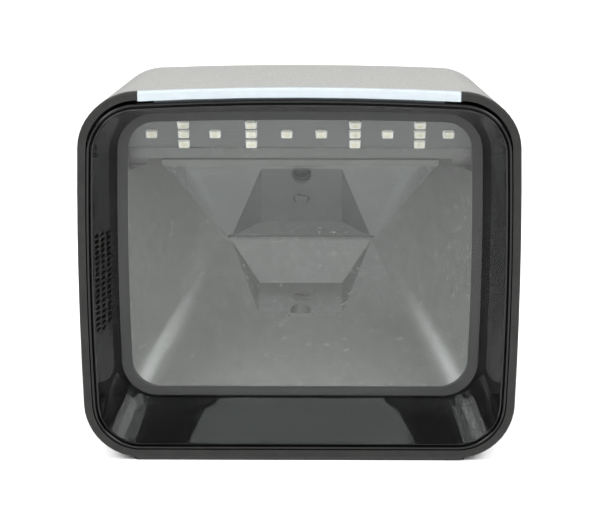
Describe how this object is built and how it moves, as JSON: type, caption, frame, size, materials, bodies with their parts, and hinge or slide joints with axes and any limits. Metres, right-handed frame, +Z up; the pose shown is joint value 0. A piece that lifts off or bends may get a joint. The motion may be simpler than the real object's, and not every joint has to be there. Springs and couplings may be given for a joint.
{
  "type": "presentation barcode scanner",
  "caption": "Counter-top presentation barcode scanner: a deep gloss funnel around a tall window, with a fold mirror, camera and light board inside.",
  "frame": {"origin": "on the counter under the centre of the body", "axes": "+X to the right seen from the front, -Y out of the window towards the item being scanned, +Z up"},
  "size_m": [0.1358, 0.08, 0.1186],
  "materials": {
    "rim_black": "fine spark-eroded texture, matt",
    "silver_cover": "satin silver with a fine sparkle",
    "gloss_black": "high gloss",
    "light_diffuser": "milky satin",
    "window_glass": "clear, faint green",
    "gasket_black": "matt",
    "chamber_texture": "semi-gloss fine grain",
    "mirror": "front-silvered",
    "spring_steel": "bright",
    "inner_black": "matt",
    "board_green": "solder mask",
    "board_dark": "dark solder mask",
    "led_white": "moulded package",
    "chip_black": "matt",
    "connector_white": "matt",
    "flex_amber": "polyimide film",
    "contact_gold": "gold flash",
    "lens_glass": "coated",
    "aimer_clear": "water-clear resin",
    "magnet_steel": "zinc",
    "brass": "knurled",
    "foot_rubber": "matt",
    "screw_steel": "blackened"
  },
  "bodies": {
    "scanner": {"rear_housing": "rim_black", "top_cover": "silver_cover", "front_bezel": "gloss_black", "vent_mesh": "inner_black", "status_light_bar": "light_diffuser", "status_led_board": "board_green", "status_leds": "led_white", "scan_window": "window_glass", "window_gasket": "gasket_black", "scan_chamber": "chamber_texture", "fold_mirror": "mirror", "mirror_clips": "spring_steel", "illumination_bracket": "chamber_texture", "illumination_board": "board_dark", "illumination_leds": "led_white", "camera_bracket": "inner_black", "camera_housing": "inner_black", "lens_barrel": "inner_black", "front_lens": "lens_glass", "image_sensor_board": "board_green", "image_sensor": "chip_black", "aimer_led": "aimer_clear", "main_board": "board_green", "processor_chip": "chip_black", "board_components": "chip_black", "board_connectors": "connector_white", "camera_flex": "flex_amber", "led_flex": "flex_amber", "board_link": "flex_amber", "interface_board": "board_green", "interface_socket": "inner_black", "socket_contacts": "contact_gold", "speaker_frame": "inner_black", "speaker_cone": "chip_black", "speaker_magnet": "magnet_steel", "switch_body": "spring_steel", "base_plate": "rim_black", "mount_inserts": "brass", "rubber_feet": "foot_rubber", "rear_screws": "screw_steel", "bezel_screws": "screw_steel", "board_screws": "screw_steel", "base_screws": "screw_steel"},
    "button": {"tone_button": "rim_black", "switch_plunger": "chip_black"}
  },
  "joints": [
    {"name": "tone_button_press", "type": "slide", "parent": "scanner", "child": "button", "axis": [0, -1, 0], "range_m": [0, 0.0005], "stiffness_N_per_m": 600}
  ]
}
